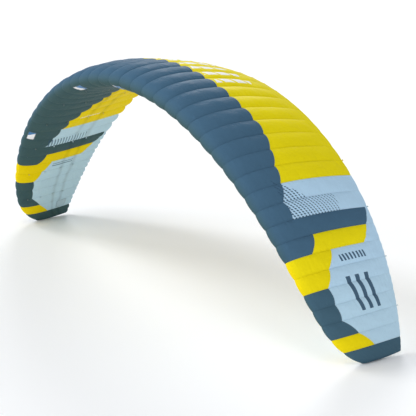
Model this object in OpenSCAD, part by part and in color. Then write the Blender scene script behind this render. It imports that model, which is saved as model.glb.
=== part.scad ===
// Closed-cell ram-air foil kite canopy, inflated into its flying arc.
// Units are millimetres. X runs along the span, +Y runs aft along the chord and +Z is up.
// The origin is the centre of the canopy's footprint, level with the lowest point of the wing tips.
// A place along the wing is a share of the laid-out half span, from -1 at the left tip to 1 at the right.
// A place around a section is v, from -1 at the trailing edge below, over 0 at the nose, to 1 on top,
// and the share of the chord there is v squared.

/* [Planform] */
// Laid-out length from the centre line to a wing tip
half_span = 4450; // [4200:50:4700]
// Chord at the centre of the wing
root_chord = 1550; // [1450:10:1650]
// Share of the chord lost smoothly towards the tips
taper = 0.50; // [0.45:0.01:0.52]
// Share of the chord lost in the rounded corner of the tip
tip_round = 0.17; // [0.15:0.01:0.18]
// Share of the root chord that the leading edge sweeps back
sweep = 0.28; // [0.25:0.01:0.30]

/* [Arc] */
// Bend of the arc at the tips before relief, in degrees
arc_bend = 77; // [72:1:80]
// Bend taken back near the tips, in degrees
arc_relief = 9; // [7:1:11]

/* [Section] */
// Thickness of the centre section as a share of its chord
thickness = 0.18; // [0.17:0.01:0.19]
// Share of its thickness that a section loses at the tips
tip_thinning = 0.22; // [0.15:0.01:0.25]
// Camber as a share of the chord
camber = 0.015; // [0.010:0.001:0.020]
// Outward twist of the tip sections as a share of their chord
tip_twist = 0.07; // [0.05:0.01:0.08]

/* [Cloth and webbing] */
// Thickness given to the cloth
cloth = 2; // [1.5:0.1:2.2]
// Inner radius of a bridle loop
loop_bore = 6; // [4:1:7]
// Width of the loop webbing
loop_width = 10; // [8:1:14]
// Radius of a plastic nose rod
rod_radius = 2; // [1.5:0.5:2.5]

/* [Openings] */
// Share of a cell's width left closed on each side of an air inlet
inlet_edge = 0.10; // [0.08:0.01:0.20]
// Length of the deflation zip
zip_length = 180; // [150:10:190]

/* [Hidden] */
cells = 45;             // cells from tip to tip
probe = 0.004;          // step in v used to find the direction of the outline
tip_crowding = 0.15;    // how much narrower the cells get towards the tips
tip_sharpness = 24;     // power that confines the rounded corner to the last cell
tip_ribs = 22;          // number of the rib that closes each tip, counted from 0 beside the centre
last_rib = tip_ribs - 1;
inner_seam = 6;         // rib where the centre section meets a mid section
outer_seam = 14;        // rib where a mid section meets a tip section
seam_gap = 32;          // room between two sections, so that they can bend towards each other
inlet_cells = [-5, -1, 3, 11];   // first rib of each cell that has an air inlet
sand_cell = 20;         // first rib of the cell that has the sand-out opening
corner_cell = 21;       // first rib of the tip cell, whose front corner is rounded
corner_parts = 4;       // straight stretches that make up that corner
sand_edge = 0.18;       // share of that cell's width left closed on each side
skin_end = 0.965;       // v where the skins stop and the trailing panel begins
inlet_v = [-0.27, -0.12];
sand_v = [-0.92, -0.84];
bottom_v = [-skin_end, -0.92, -0.88, -0.84, -0.76, -0.68, -0.60, -0.51, -0.42];
nose_v = [-0.42, -0.34, -0.27, -0.22, -0.17, -0.12, -0.08, -0.04, 0,
          0.04, 0.08, 0.12, 0.16, 0.21, 0.27, 0.34];
top_v = [0.34, 0.42, 0.50, 0.58, 0.66, 0.74, 0.82, 0.90, skin_end];
function after_first(list) = [for (k = [1:len(list) - 1]) list[k]];    // so that no row comes twice
rib_v = concat(bottom_v, after_first(nose_v), after_first(top_v));
rib_thick = 2;
rib_clear = 1;          // room between a rib's edge and the cloth
port_places = [0.18, 0.32, 0.46, 0.60, 0.74];   // chord shares of the air ports in a rib
port_share = 0.29;      // port radius as a share of the local thickness
loop_places = [0.13, 0.34, 0.57, 0.74];         // chord shares of the bridle rows
loop_wall = 4;
loop_drop = 3;          // free gap between the cloth and a loop's ring
brake_tab = 6;          // the same for a brake loop
brake_gap = 0.8;        // room between the hem and a brake loop's tab
hem = 3;                // thickness of the trailing edge
rod_turn = 190;         // angle that a nose rod runs round the nose
rod_side = 0.8;         // room between a rod and its rib, and between a rod and the cloth
rod_arc = 0.9;          // bend radius of a rod as a share of the nose radius
panel_places = [[0.14, 0.28], [0.33, 0.48], [0.53, 0.68]];  // chord shares of the diagonal bands
panel_thick = 1.5;
panel_clear = 4;        // room between a diagonal band and what it is sewn to
tip_panel = 2.5;        // thickness of the wing tip's end panel
flap_thick = 2;
valve_clear = 6.5;      // room between a valve flap and the skin that it closes
valve_lap = [0.01, 0.02];    // v by which a valve flap passes the front and back edge of its inlet
valve_width = 1 - 1.4 * inlet_edge;   // its width as a share of its cell
sand_clear = 1.5;       // the same for the flap of the sand-out opening
sand_lap = [0.02, 0.015];
sand_width = 1 - 1.5 * sand_edge;
zip_place = 0.86;       // chord share of the zip's middle
tape_width = 26;
tape_thick = 1.5;
tape_clear = 2;         // room between the zip and the lower skin
coil_radius = 2;
coil_end = 4;           // bare tape beyond each end of the coil
slider_start = 14;      // middle of the slider from the end of the tape, while the zip is closed
slider_size = [12, 11, 3];
slider_clear = 0.4;     // room between slider and coil
pull_size = [26, 7, 3]; // pull tab with a cord hole near its end
pull_start = 3;         // how far the pull tab reaches back from the middle of the slider
pull_hole = [21, 2];    // place and radius of that hole
steps = 24;             // steps used to add up the arc

// ---- Shape of the wing ----

function sum(list, k = 0) = k < len(list) ? list[k] + sum(list, k + 1) : 0;

// Place of a rib along the half span; negative numbers are the ribs left of the centre cell
function rib_share(i) = let (u = (2 * i + 1) / cells) u * (1 + tip_crowding * (1 - u * u));

// Lean of the wing at a share s, in degrees, and its place on the arc
function bend(s) = arc_bend * s - arc_relief * pow(s, 3);
function half_steps(s) = [for (k = [0:steps - 1]) (k + 0.5) * s / steps];
function arc_x(s) = half_span * s / steps * sum([for (h = half_steps(s)) cos(bend(h))]);
function arc_z(s) = -half_span * s / steps * sum([for (h = half_steps(s)) sin(bend(h))]);

function chord(s) = root_chord * (1 - taper * pow(abs(s), 3) - tip_round * pow(abs(s), tip_sharpness));
function lead(s) = root_chord * (sweep * pow(abs(s), 3) + tip_round * pow(abs(s), tip_sharpness));

// Half thickness of a symmetric foil section of chord 1 at v, by the usual four-digit section polynomial
function half_foil(v) = let (a = abs(v), x = v * v)
    5 * thickness * (0.2969 * a - 0.1260 * x - 0.3516 * x * x + 0.2843 * pow(x, 3) - 0.1036 * pow(x, 4));

// Outline point [aft, outward] of the section at s, without and with an inward offset
function outer(s, v) = let (x = v * v, side = v < 0 ? -1 : 1)
    [lead(s) + x * chord(s),
     chord(s) * ((1 - tip_thinning * s * s) * (4 * camber * x * (1 - x) + side * half_foil(v))
                 + tip_twist * s * s * x)];
function outline(s, v, inset = 0) = let (d = outer(s, v + probe) - outer(s, v - probe), t = d / norm(d))
    outer(s, v) + inset * [t[1], -t[0]];
function mid_line(s, x) = (outer(s, sqrt(x)) + outer(s, -sqrt(x))) / 2;

lowest_out = min([for (v = rib_v) outer(1, v)[1]]);
lift = -(arc_z(1) + lowest_out * cos(bend(1)) - tip_panel * sin(bend(1)));

// Space point of a section point, given the section's frame [x, z, sin, cos]
function frame(s) = [arc_x(s), arc_z(s) + lift, sin(bend(s)), cos(bend(s))];
function place(f, p) = [f[0] + p[1] * f[2], p[0] - root_chord / 2, f[1] + p[1] * f[3]];

// Children drawn as [across the rib, aft, outward] go to the section at s
module at(s) {
    translate([arc_x(s), -root_chord / 2, arc_z(s) + lift]) rotate([0, bend(s), 0]) children();
}

// A flat shape drawn as [aft, outward], given a thickness across the rib
module across(width) {
    rotate([90, 0, 90]) linear_extrude(width, center = true) children();
}

// ---- Where the sections and their openings are ----

function between(i, part) = rib_share(i) + part * (rib_share(i + 1) - rib_share(i));
function edge_shares(i, edge) = [between(i, edge), between(i, 1 - edge)];
function has(list, i) = len([for (k = list) if (k == i) k]) > 0;

// Crossing places of the skin from one rib to the next, with the sides of an opening where there is one
function parts(i, n) = [for (k = [1:n - 1]) between(i, k / n)];
function crossings(i) = concat([rib_share(i)],
    has(inlet_cells, i) ? edge_shares(i, inlet_edge) : [],
    i == sand_cell ? edge_shares(i, sand_edge) : [],
    i == corner_cell ? parts(i, corner_parts) : []);
function section_shares(first, last) =
    concat([for (i = [first:last - 1]) each crossings(i)], [rib_share(last)]);
function after_seam(i) = rib_share(i) + seam_gap / half_span;

centre_shares = section_shares(-inner_seam - 1, inner_seam);
mid_shares = concat([after_seam(inner_seam)], section_shares(inner_seam + 1, outer_seam));
tip_shares = concat([after_seam(outer_seam)], section_shares(outer_seam + 1, tip_ribs));

// An opening is [lowest share, highest share, lowest v, highest v]
windows = concat([for (i = inlet_cells) concat(edge_shares(i, inlet_edge), inlet_v)],
                 [concat(edge_shares(sand_cell, sand_edge), sand_v)]);
function inside(w, s, v) = s > w[0] && s < w[1] && v > w[2] && v < w[3];
function is_open(s, v) = len([for (w = windows) if (inside(w, s, v)) 1]) > 0;

// ---- Cloth ----

// A closed sheet of cloth between the given crossings and section points, open where a window is
module skin(shares, vs) {
    rows = len(shares);
    cols = len(vs);
    count = rows * cols;
    frames = [for (s = shares) frame(s)];
    outside = [for (r = [0:rows - 1]) for (v = vs) place(frames[r], outline(shares[r], v))];
    inside = [for (r = [0:rows - 1]) for (v = vs) place(frames[r], outline(shares[r], v, cloth))];
    full = [for (r = [0:rows - 2]) [for (c = [0:cols - 2])
        !is_open((shares[r] + shares[r + 1]) / 2, (vs[c] + vs[c + 1]) / 2)]];
    function solid(r, c) = r >= 0 && c >= 0 && r < rows - 1 && c < cols - 1 && full[r][c];
    function quad(a, b, c, d) = [[a, b, c], [a, c, d]];
    function rim(a, b) = quad(a, b, b + count, a + count);
    faces = [for (r = [0:rows - 2]) for (c = [0:cols - 2]) if (full[r][c])
        let (a = r * cols + c, b = a + cols, d = a + 1, e = b + 1)
        each concat(
            quad(a, d, e, b),
            quad(a + count, b + count, e + count, d + count),
            solid(r - 1, c) ? [] : rim(d, a),
            solid(r + 1, c) ? [] : rim(b, e),
            solid(r, c - 1) ? [] : rim(a, b),
            solid(r, c + 1) ? [] : rim(e, d))];
    polyhedron(concat(outside, inside), faces, convexity = 8);
}

module top_skin(shares) color("gold") skin(shares, top_v);
module nose_skin(shares) color("steelblue") skin(shares, nose_v);
module bottom_skin(shares) color("khaki") skin(shares, bottom_v);

// The sewn wedge that closes the section behind the skins and ends in the trailing hem
module trailing_panel(shares) {
    rows = len(shares);
    corners = [for (s = shares) let (f = frame(s), e = outer(s, 1)) each
        [place(f, outer(s, skin_end)), place(f, e + [0, hem / 2]),
         place(f, e - [0, hem / 2]), place(f, outer(s, -skin_end))]];
    sides = [for (r = [0:rows - 2]) for (k = [0:3])
        let (a = 4 * r + k, b = 4 * r + (k + 1) % 4) each [[a, b, b + 4], [a, b + 4, a + 4]]];
    last = 4 * (rows - 1);
    color("lightblue")
        polyhedron(concat(corners), concat(sides, [[0, 2, 1], [0, 3, 2]],
            [[last, last + 1, last + 2], [last, last + 2, last + 3]]), convexity = 4);
}

// End panel that closes a wing tip
module tip_end() {
    color("steelblue") at(1) translate([tip_panel / 2, 0, 0]) across(tip_panel)
        polygon([for (v = rib_v) outer(1, v)]);
}

// ---- Inner structure ----

function depth(s, x) = norm(outer(s, sqrt(x)) - outer(s, -sqrt(x)));

// One rib with its air ports
module rib(i) {
    s = rib_share(i);
    at(s) across(rib_thick) difference() {
        polygon([for (v = rib_v) outline(s, v, cloth + rib_clear)]);
        for (x = port_places) translate(mid_line(s, x)) circle(port_share * depth(s, x), $fn = 48);
    }
}

module ribs(first, last) color("white") for (i = [first:last]) rib(i);

// A thin flat band between two edges given by their end points
module band(a, b, c, d) {
    n = cross(b - a, d - a);
    h = n / norm(n) * panel_thick / 2;
    polyhedron([a + h, b + h, c + h, d + h, a - h, b - h, c - h, d - h],
        [[0, 2, 1], [0, 3, 2], [4, 5, 6], [4, 6, 7], [0, 1, 5], [0, 5, 4], [1, 2, 6], [1, 6, 5],
         [2, 3, 7], [2, 7, 6], [3, 0, 4], [3, 4, 7]], convexity = 2);
}

// Bands that carry the load from a bridled rib's lower edge to the top of the rib beside it
module diagonals(i, j) {
    lean = j > i ? 1 : -1;
    low = rib_share(i) + lean * panel_clear / half_span;
    high = rib_share(j) - lean * panel_clear / half_span;
    function edge(s, v) = place(frame(s), outline(s, v, cloth + panel_clear));
    for (x = panel_places)
        band(edge(low, -sqrt(x[0])), edge(low, -sqrt(x[1])), edge(high, sqrt(x[1])), edge(high, sqrt(x[0])));
}

// Every third rib carries bridle loops, counted alike on both wings
function bridled(i) = (i < 0 ? -1 - i : i) % 3 == 1;

module diagonal_ribs(first, last) {
    color("whitesmoke") for (i = [first:last]) if (bridled(i)) {
        if (i > first) diagonals(i, i - 1);
        if (i < last) diagonals(i, i + 1);
    }
}

// A bent plastic rod beside each rib, just inside the nose
module nose_rod(i) {
    s = rib_share(i);
    nose_radius = 1.1 * pow(thickness * (1 - tip_thinning * s * s), 2) * chord(s);
    inset = cloth + rod_radius + rod_side;
    bend_radius = rod_arc * nose_radius - rod_radius;
    beside = (i < 0 ? 1 : -1) * (rib_thick / 2 + rod_radius + rod_side);
    at(s) translate([beside, lead(s) + inset + bend_radius, 0]) rotate([90, 0, 90])
        rotate([0, 0, 180 - rod_turn / 2]) rotate_extrude(angle = rod_turn, $fn = 48)
            translate([bend_radius, 0]) circle(rod_radius, $fn = 16);
}

module nose_rods(first, last) color("dimgray") for (i = [first:last]) nose_rod(i);

// ---- Webbing ----

// A ring of webbing whose bore runs along the span
module ring() {
    rotate([0, 90, 0]) difference() {
        cylinder(r = loop_bore + loop_wall, h = loop_width, center = true, $fn = 48);
        cylinder(r = loop_bore, h = loop_width + 2, center = true, $fn = 48);
    }
}

// A loop hanging below the skin at chord share x, on a short tab
module bridle_loop(s, x) {
    p = outer(s, -sqrt(x));
    drop = loop_drop + loop_bore + loop_wall;
    at(s) translate([0, p[0], p[1]]) {
        translate([0, 0, -drop]) ring();
        translate([-loop_width / 2, -loop_wall, -loop_drop - loop_wall / 2])
            cube([loop_width, 2 * loop_wall, loop_drop]);
    }
}

module bridle_loops(first, last) {
    color("black") for (i = [first:last], x = loop_places) if (bridled(i)) bridle_loop(rib_share(i), x);
}

// A loop behind the trailing edge for the brake line
module brake_loop(s) {
    p = outer(s, 1);
    reach = brake_tab + loop_bore;
    into_ring = loop_wall / 2;
    at(s) translate([0, p[0], p[1]]) {
        translate([0, reach, 0]) ring();
        translate([-loop_width / 2, brake_gap, -hem / 2])
            cube([loop_width, brake_tab - loop_wall + into_ring - brake_gap, hem]);
    }
}

module brake_loops(first, last) {
    color("black") for (i = [first:last]) if (bridled(i)) brake_loop(rib_share(i));
}

// ---- Flaps and zip ----

// A flat flap over an opening from v[0] to v[1], which it passes by the given laps
module flap(i, v, lap, inset, width_share) {
    s = between(i, 0.5);
    front = outline(s, v[1] + lap[0], inset);
    back = outline(s, v[0] - lap[1], inset);
    run = back - front;
    width = half_span * (rib_share(i + 1) - rib_share(i)) * width_share;
    at(s) translate([0, front[0], front[1]]) rotate([atan2(run[1], run[0]), 0, 0])
        translate([-width / 2, 0, -flap_thick / 2]) cube([width, norm(run), flap_thick]);
}

// One-way valve behind an air inlet, hinged along its front edge
module valve_flap(i) {
    color("white") flap(i, inlet_v, valve_lap, cloth + valve_clear + flap_thick / 2, valve_width);
}

// Outer flap that closes the sand-out opening, hinged along its front edge
module sand_flap() {
    color("steelblue") flap(sand_cell, sand_v, sand_lap, -sand_clear - flap_thick / 2, sand_width);
}

// Children drawn flat go under the centre cell, along the slope of the lower skin
module at_zip() {
    p = outer(0, -sqrt(zip_place));
    q = outer(0, -sqrt(zip_place + probe));
    at(0) translate([0, p[0], p[1]]) rotate([atan2(q[1] - p[1], q[0] - p[0]), 0, 0]) children();
}

zip_face = tape_clear + tape_thick;     // how far the face of the tape lies below the skin

module zip_tape() {
    color("black") at_zip() translate([-zip_length / 2, -tape_width / 2, -zip_face])
        cube([zip_length, tape_width, tape_thick]);
}

module zip_coil() {
    color("dimgray") at_zip() translate([coil_end - zip_length / 2, 0, -zip_face - coil_radius])
        rotate([0, 90, 0]) cylinder(r = coil_radius, h = zip_length - 2 * coil_end, $fn = 32);
}

// Slider with its pull tab, at the closed end of the zip
module zip_slider() {
    color("silver") at_zip()
        translate([slider_start - zip_length / 2, 0, -zip_face - 2 * coil_radius - slider_clear]) {
            translate([-slider_size[0] / 2, -slider_size[1] / 2, -slider_size[2]]) cube(slider_size);
            translate([-pull_start, -pull_size[1] / 2, -slider_size[2] - pull_size[2]]) difference() {
                cube(pull_size);
                translate([pull_hole[0], pull_size[1] / 2, -1])
                    cylinder(r = pull_hole[1], h = pull_size[2] + 2, $fn = 24);
            }
        }
}

module mirrored() mirror([1, 0, 0]) children();

// ---- Centre section ----
top_skin(centre_shares);  // top_skin_centre
nose_skin(centre_shares);  // nose_skin_centre
bottom_skin(centre_shares);  // bottom_skin_centre
trailing_panel(centre_shares);  // trailing_panel_centre
ribs(-inner_seam - 1, inner_seam);  // ribs_centre
diagonal_ribs(-inner_seam - 1, inner_seam);  // diagonal_ribs_centre
nose_rods(-inner_seam - 1, inner_seam);  // nose_rods_centre
bridle_loops(-inner_seam - 1, inner_seam);  // bridle_loops_centre
zip_tape();
zip_coil();
zip_slider();
valve_flap(inlet_cells[1]);  // valve_flap_centre
valve_flap(inlet_cells[2]);  // valve_flap_inner_right
mirrored() valve_flap(inlet_cells[2]);  // valve_flap_inner_left

// ---- Mid sections ----
top_skin(mid_shares);  // top_skin_mid_right
nose_skin(mid_shares);  // nose_skin_mid_right
bottom_skin(mid_shares);  // bottom_skin_mid_right
trailing_panel(mid_shares);  // trailing_panel_mid_right
ribs(inner_seam + 1, outer_seam);  // ribs_mid_right
diagonal_ribs(inner_seam + 1, outer_seam);  // diagonal_ribs_mid_right
nose_rods(inner_seam + 1, outer_seam);  // nose_rods_mid_right
bridle_loops(inner_seam + 1, outer_seam);  // bridle_loops_mid_right
brake_loops(inner_seam + 2, outer_seam);  // brake_loops_mid_right
valve_flap(inlet_cells[3]);  // valve_flap_outer_right
mirrored() top_skin(mid_shares);  // top_skin_mid_left
mirrored() nose_skin(mid_shares);  // nose_skin_mid_left
mirrored() bottom_skin(mid_shares);  // bottom_skin_mid_left
mirrored() trailing_panel(mid_shares);  // trailing_panel_mid_left
mirrored() ribs(inner_seam + 1, outer_seam);  // ribs_mid_left
mirrored() diagonal_ribs(inner_seam + 1, outer_seam);  // diagonal_ribs_mid_left
mirrored() nose_rods(inner_seam + 1, outer_seam);  // nose_rods_mid_left
mirrored() bridle_loops(inner_seam + 1, outer_seam);  // bridle_loops_mid_left
mirrored() brake_loops(inner_seam + 2, outer_seam);  // brake_loops_mid_left
mirrored() valve_flap(inlet_cells[3]);  // valve_flap_outer_left

// ---- Tip sections ----
top_skin(tip_shares);  // top_skin_tip_right
nose_skin(tip_shares);  // nose_skin_tip_right
bottom_skin(tip_shares);  // bottom_skin_tip_right
trailing_panel(tip_shares);  // trailing_panel_tip_right
ribs(outer_seam + 1, last_rib);  // ribs_tip_right
diagonal_ribs(outer_seam + 1, last_rib);  // diagonal_ribs_tip_right
nose_rods(outer_seam + 1, last_rib);  // nose_rods_tip_right
bridle_loops(outer_seam + 1, last_rib);  // bridle_loops_tip_right
brake_loops(outer_seam + 1, last_rib);  // brake_loops_tip_right
tip_end();  // tip_panel_right
sand_flap();  // sand_flap_right
mirrored() top_skin(tip_shares);  // top_skin_tip_left
mirrored() nose_skin(tip_shares);  // nose_skin_tip_left
mirrored() bottom_skin(tip_shares);  // bottom_skin_tip_left
mirrored() trailing_panel(tip_shares);  // trailing_panel_tip_left
mirrored() ribs(outer_seam + 1, last_rib);  // ribs_tip_left
mirrored() diagonal_ribs(outer_seam + 1, last_rib);  // diagonal_ribs_tip_left
mirrored() nose_rods(outer_seam + 1, last_rib);  // nose_rods_tip_left
mirrored() bridle_loops(outer_seam + 1, last_rib);  // bridle_loops_tip_left
mirrored() brake_loops(outer_seam + 1, last_rib);  // brake_loops_tip_left
mirrored() tip_end();  // tip_panel_left
mirrored() sand_flap();  // sand_flap_left
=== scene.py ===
"""Looks of an inflated foil kite canopy: sewn cells, air inlets, webbing loops, prints and zip.

The wing's shape repeats the formulas of the CAD part, in metres. A place along the span is a rib
number r, which runs from -23 at the left tip to 22 at the right tip, and the centre cell lies
between ribs -1 and 0. A place round a section is v, from -1 at the trailing edge below, over 0 at
the nose, to 1 on top, and the share of the chord there is v squared.
"""

import math

import bpy
import numpy as np
from mathutils import Matrix, Vector


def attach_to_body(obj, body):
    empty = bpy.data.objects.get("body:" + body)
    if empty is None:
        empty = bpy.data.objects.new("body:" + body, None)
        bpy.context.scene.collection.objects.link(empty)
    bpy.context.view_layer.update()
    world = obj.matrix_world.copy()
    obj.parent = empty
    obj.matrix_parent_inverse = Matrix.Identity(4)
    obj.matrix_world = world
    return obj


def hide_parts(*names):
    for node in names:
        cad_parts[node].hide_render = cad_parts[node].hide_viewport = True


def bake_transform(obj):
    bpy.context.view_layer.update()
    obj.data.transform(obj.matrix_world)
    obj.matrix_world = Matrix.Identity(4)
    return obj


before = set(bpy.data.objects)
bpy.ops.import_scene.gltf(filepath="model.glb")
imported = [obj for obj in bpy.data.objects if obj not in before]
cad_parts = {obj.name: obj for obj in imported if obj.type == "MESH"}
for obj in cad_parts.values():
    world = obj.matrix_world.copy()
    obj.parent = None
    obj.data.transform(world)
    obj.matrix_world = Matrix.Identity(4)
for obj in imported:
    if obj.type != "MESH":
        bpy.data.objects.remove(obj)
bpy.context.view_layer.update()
scene = bpy.context.scene

# ---- Shape of the wing ----

HALF_SPAN = 4.45
ROOT_CHORD = 1.55
TAPER = 0.50
TIP_ROUND = 0.17
SWEEP = 0.28
ARC_BEND = math.radians(77)
ARC_RELIEF = math.radians(9)
THICKNESS = 0.18
TIP_THINNING = 0.22
CAMBER = 0.015
TIP_TWIST = 0.07
CELLS = 45
TIP_CROWDING = 0.15
TIP_SHARPNESS = 24
TIP_RIB = 22
INNER_SEAM = 6
OUTER_SEAM = 14
TIP_PANEL = 0.0025
PROBE = 0.004
STEPS = 24
SKIN_END = 0.965
NOSE_V = (-0.42, 0.34)
INLET_V = (-0.27, -0.12)
INLET_EDGE = 0.10
SAND_V = (-0.92, -0.84)
SAND_EDGE = 0.18
SAND_CELLS = (20, -22)
INLET_CELLS = (-13, -5, -1, 3, 11)
LOOP_PLACES = (0.13, 0.34, 0.57, 0.74)
NOSE_RUN = 0.2  # length of cloth that the blunt nose adds between v = 0 and v = 1


def rib_share(i):
    """Place of rib i along the half span."""
    u = (2 * i + 1) / CELLS
    return u * (1 + TIP_CROWDING * (1 - u * u))


def width_of(cell):
    """Width of a cell, in metres."""
    return HALF_SPAN * (rib_share(cell + 1) - rib_share(cell))


def share(r):
    """Place of any rib number along the half span, straight between ribs."""
    i = np.floor(r)
    return rib_share(i) + (r - i) * (rib_share(i + 1) - rib_share(i))


def bend(s):
    """Lean of the wing at share s, in radians."""
    return ARC_BEND * s - ARC_RELIEF * s**3


def arc(s):
    """Place of share s on the arc, before the lift."""
    s = np.asarray(s, float)
    part = bend(s[..., None] * (np.arange(STEPS) + 0.5) / STEPS)
    return HALF_SPAN * s * np.cos(part).mean(-1), -HALF_SPAN * s * np.sin(part).mean(-1)


def chord(s):
    """Chord length at share s."""
    a = np.abs(s)
    return ROOT_CHORD * (1 - TAPER * a**3 - TIP_ROUND * a**TIP_SHARPNESS)


def half_foil(v):
    """Half thickness of a section of chord 1."""
    a = np.abs(v)
    x = v * v
    return 5 * THICKNESS * (0.2969 * a - 0.1260 * x - 0.3516 * x**2 + 0.2843 * x**3 - 0.1036 * x**4)


def outer(s, v):
    """Outline point of the section: distance aft and distance outward."""
    a = np.abs(s)
    x = v * v
    side = np.where(v < 0, -1.0, 1.0)
    aft = ROOT_CHORD * (SWEEP * a**3 + TIP_ROUND * a**TIP_SHARPNESS) + x * chord(s)
    foil = (1 - TIP_THINNING * s * s) * (4 * CAMBER * x * (1 - x) + side * half_foil(v))
    return aft, chord(s) * (foil + TIP_TWIST * s * s * x)


def lift_of_arc():
    """Height that puts the lowest point of the wing tips on the floor."""
    lowest = outer(1.0, np.linspace(-SKIN_END, SKIN_END, 400))[1].min()
    lean = bend(1.0)
    return -(arc(1.0)[1] + lowest * math.cos(lean) - TIP_PANEL * math.sin(lean))


LIFT = lift_of_arc()


def put(s, aft, out):
    """Space point of a section point."""
    along, up = arc(s)
    lean = bend(s)
    x = along + out * np.sin(lean)
    y = aft - ROOT_CHORD / 2 + 0 * x
    z = up + LIFT + out * np.cos(lean)
    return np.stack([x, y, z], -1)


def wing_point(s, v, out=0.0, aft=0.0):
    """Space point at share s and outline place v, moved off the outline by out and back by aft."""
    s, v = np.broadcast_arrays(np.asarray(s, float), np.asarray(v, float))
    a0, n0 = outer(s, v)
    a1, n1 = outer(s, v - PROBE)
    a2, n2 = outer(s, v + PROBE)
    length = np.hypot(a2 - a1, n2 - n1)
    return put(s, a0 + aft - out * (n2 - n1) / length, n0 + out * (a2 - a1) / length)


def rib_axis(s):
    """Direction along the span at share s."""
    return Vector((math.cos(bend(s)), 0, -math.sin(bend(s))))


# ---- Inflated cloth: billow of the cells and puckers along the seams ----

# Height of a cell's bulge in cell widths, at the chord shares BILLOW_X, above and below
BILLOW_X = (0.0, 0.05, 0.30, 0.70, 0.88, 0.95, 1.0)
BILLOW_TOP = (0.068, 0.088, 0.108, 0.100, 0.054, -0.010, -0.070)
BILLOW_LOW = (0.062, 0.055, 0.060, 0.060, 0.045, 0.055, 0.070)
BILLOW_FULLNESS = 0.80  # below 1, the cloth rises steeply from a seam
HALF_CELL_FROM = (0.78, 0.86)  # chord shares over which a tip cell splits in two at its short rear rib
HALF_CELL_SHARE = (0.62, 0.70)  # places along the half span between which the short ribs begin
HALF_CELL_MIX = (0.35, 0.55)  # in a split cell, the parts of the whole bulge and of its two halves
HEM_REACH = 0.110  # how far the rear edge bows back in mid-cell, in cell widths
HEM_FROM = 0.88  # chord share where that bow begins
PUCKER = 0.0016  # height of the puckers along a seam
PUCKER_REACH = 0.024  # distance from the seam where they are highest
PUCKER_WAVES = (0.047, 0.066, 0.093, 0.141)
PUCKER_GAIN = 1.6  # makes up for waves that cancel each other
SWELL = 0.0016  # height of the slow unevenness of a cell
SWELL_WAVES = ((9, 3), (23, -4))  # waves round the section, and their lean across the cell
RELIEF_FROM = 0.06  # chord share by which puckers and swells have their full height
RELIEF_LOSS = 0.7  # share of that height that they lose again at the trailing edge
SEED = 12
# Cells and chord shares where the lower sail lies flat, for the zip and for the sand flaps
FLAT_SPOTS = ((-1, 0.79, 0.93), *((cell, 0.65, 0.87) for cell in SAND_CELLS))
FLAT_RAMPS = (0.06, 0.05)  # chord shares over which the cloth flattens before and fills after them

rng = np.random.default_rng(SEED)
seam_phase = rng.uniform(0, 2 * math.pi, (2 * TIP_RIB + 3, len(PUCKER_WAVES)))
cell_swell = rng.uniform(0.90, 1.10, 2 * TIP_RIB + 3)
cell_phase = rng.uniform(0, 2 * math.pi, (2 * TIP_RIB + 3, 4))


def smooth(low, high, x):
    """0 below low, 1 above high, and a smooth rise between them."""
    t = np.clip((x - low) / (high - low), 0, 1)
    return t * t * (3 - 2 * t)


def run_of(s, v):
    """Rough distance round the section from the nose, in metres."""
    return chord(s) * v * np.abs(v) + NOSE_RUN * v


def seam_wave(seam, run):
    """Random wave along a seam, mostly between -1 and 1."""
    phase = seam_phase[np.clip(seam.astype(int) + TIP_RIB + 1, 0, 2 * TIP_RIB + 2)]
    turns = [run / length for length in PUCKER_WAVES]
    waves = [np.sin(2 * math.pi * turn + phase[..., k]) for k, turn in enumerate(turns)]
    return sum(waves) / len(waves) * PUCKER_GAIN


def cell_profile(f, x, s):
    """Height of the billow across a cell, from 0 at its ribs to about 1 in the middle."""
    whole = np.clip(4 * f * (1 - f), 0, 1) ** BILLOW_FULLNESS
    g = (2 * f) % 1
    halves = HALF_CELL_MIX[0] * whole + HALF_CELL_MIX[1] * 4 * g * (1 - g)
    split = smooth(*HALF_CELL_FROM, x) * smooth(*HALF_CELL_SHARE, np.abs(s))
    return (1 - split) * whole + split * halves


def fullness(cell, v):
    """0 in the flat spots of the lower sail, and 1 elsewhere."""
    x = v * v
    full = np.ones(x.shape)
    for spot, start, end in FLAT_SPOTS:
        inside = smooth(start - FLAT_RAMPS[0], start, x) * (1 - smooth(end, end + FLAT_RAMPS[1], x))
        full = np.where((cell == spot) & (v < 0), 1 - inside, full)
    return full


def sail_point(r, v, cell, off=0.0):
    """Point of the inflated cloth at rib number r and outline place v, in the given cell."""
    s = share(r)
    x = v * v
    f = r - cell
    width = width_of(cell)
    height = np.where(v < 0, np.interp(x, BILLOW_X, BILLOW_LOW), np.interp(x, BILLOW_X, BILLOW_TOP))
    number = cell.astype(int) + TIP_RIB + 1
    profile = cell_profile(f, x, s)
    run = run_of(s, v)
    out = height * cell_swell[number] * width * profile
    fade = smooth(0.0, RELIEF_FROM, x) * (1 - RELIEF_LOSS * smooth(0.93, 1.0, x))
    for seam, distance in ((cell, f * width), (cell + 1, (1 - f) * width)):
        near = distance / PUCKER_REACH
        out = out + PUCKER * fade * seam_wave(seam, run) * near * np.exp(1 - near)
    phase = cell_phase[number]
    swells = [np.sin(a * run + phase[..., k] + b * f) for k, (a, b) in enumerate(SWELL_WAVES)]
    out = out + SWELL * fade * sum(swells) * profile
    aft = HEM_REACH * width * profile * smooth(HEM_FROM, 1.0, x)
    return wing_point(s, v, off + out * fullness(cell, v), aft)


# ---- Meshes ----


def add_object(name, data):
    """A new object in the scene."""
    made = bpy.data.objects.new(name, data)
    scene.collection.objects.link(made)
    return made


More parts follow.
